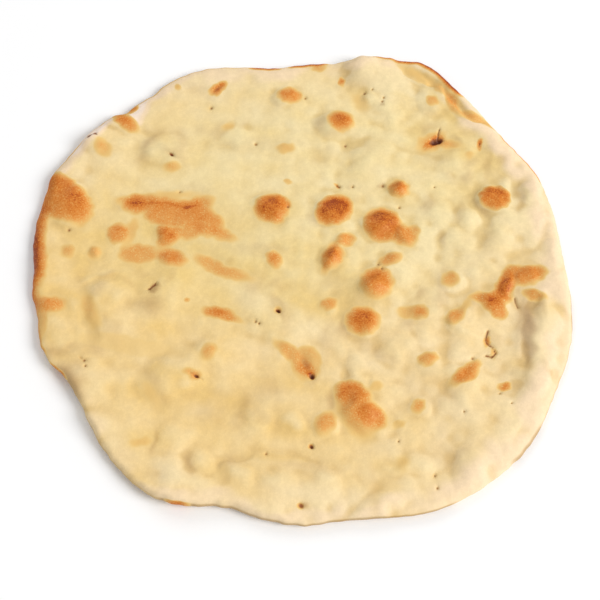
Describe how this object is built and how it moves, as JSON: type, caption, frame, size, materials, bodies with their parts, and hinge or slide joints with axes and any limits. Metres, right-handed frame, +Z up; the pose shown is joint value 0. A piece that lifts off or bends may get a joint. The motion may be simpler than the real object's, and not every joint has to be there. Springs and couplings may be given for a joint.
{
  "type": "white pizza",
  "caption": "Plain hand-stretched white pizza with no topping: a thin uneven baked dough disc with browned blisters, soft swellings and a rounded irregular edge, lying flat.",
  "frame": {"origin": "on the table, under the middle of the bread's bounding box", "axes": "+Z up out of the blistered top, +X along the bread's longest side, +Y towards the far rim with the trench"},
  "size_m": [0.3188, 0.31, 0.0123],
  "materials": {
    "baked_dough": "matte baked wheat dough, cream with toasted brown blisters"
  },
  "bodies": {
    "root": {"pizza_bread": "baked_dough"}
  },
  "joints": []
}
